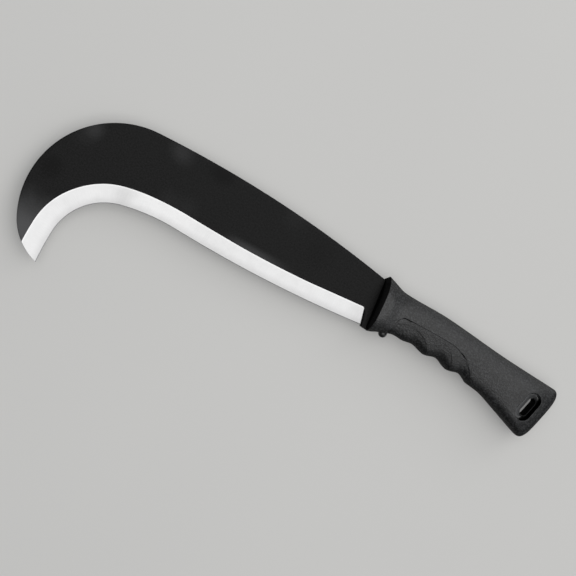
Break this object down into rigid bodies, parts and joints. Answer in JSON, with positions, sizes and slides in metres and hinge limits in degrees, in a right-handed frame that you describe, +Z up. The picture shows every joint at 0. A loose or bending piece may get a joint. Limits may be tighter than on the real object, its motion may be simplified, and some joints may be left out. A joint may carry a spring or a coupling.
{
  "type": "hooked hand sickle",
  "caption": "Hooked hand sickle of the billhook kind: coated steel blade with a wide ground bevel and a moulded grip with finger hollows and a lanyard hole.",
  "frame": {"origin": "middle of the guard's lower side flat, on the surface that the sickle lies on", "axes": "+X along the grip to the butt, +Y to the back of the blade, +Z up, across the blade's flat side"},
  "size_m": [0.399, 0.1253, 0.026],
  "materials": {
    "blade_steel": "black low-friction coating, bevel ground bright",
    "hard_handle": "fine moulded grain",
    "soft_grip": "fine moulded grain",
    "sleeve_plastic": "smooth rim"
  },
  "bodies": {
    "root": {"blade": "blade_steel", "handle_body": "hard_handle", "finger_grip": "soft_grip", "lanyard_sleeve": "sleeve_plastic"}
  },
  "joints": []
}
